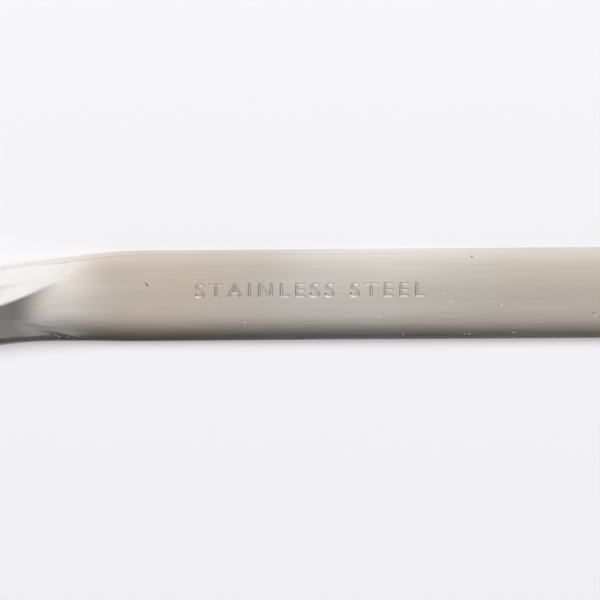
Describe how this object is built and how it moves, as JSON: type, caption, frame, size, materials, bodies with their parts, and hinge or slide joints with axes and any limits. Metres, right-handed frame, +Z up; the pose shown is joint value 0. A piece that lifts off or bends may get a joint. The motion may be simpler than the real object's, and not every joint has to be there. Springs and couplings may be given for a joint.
{
  "type": "dinner fork",
  "caption": "Steel dinner fork lying face down, with a flat satin handle, a ridged neck with scooped flanks, a crowned head and tapered curved tines.",
  "frame": {"origin": "on the surface that the fork lies on, under the middle of its length and width", "axes": "+X from the tine tips towards the butt of the handle, +Z up, away from the surface, out of the fork's back"},
  "size_m": [0.2, 0.0248, 0.0151],
  "materials": {
    "satin_steel": "stainless steel, satin brushed along the handle, lightly worn",
    "bright_steel": "stainless steel, finely polished over a faint brush grain"
  },
  "bodies": {
    "root": {"handle": "satin_steel", "neck": "bright_steel", "head_root": "bright_steel", "tine_1": "bright_steel", "tine_2": "bright_steel", "tine_3": "bright_steel", "tine_4": "bright_steel"}
  },
  "joints": []
}
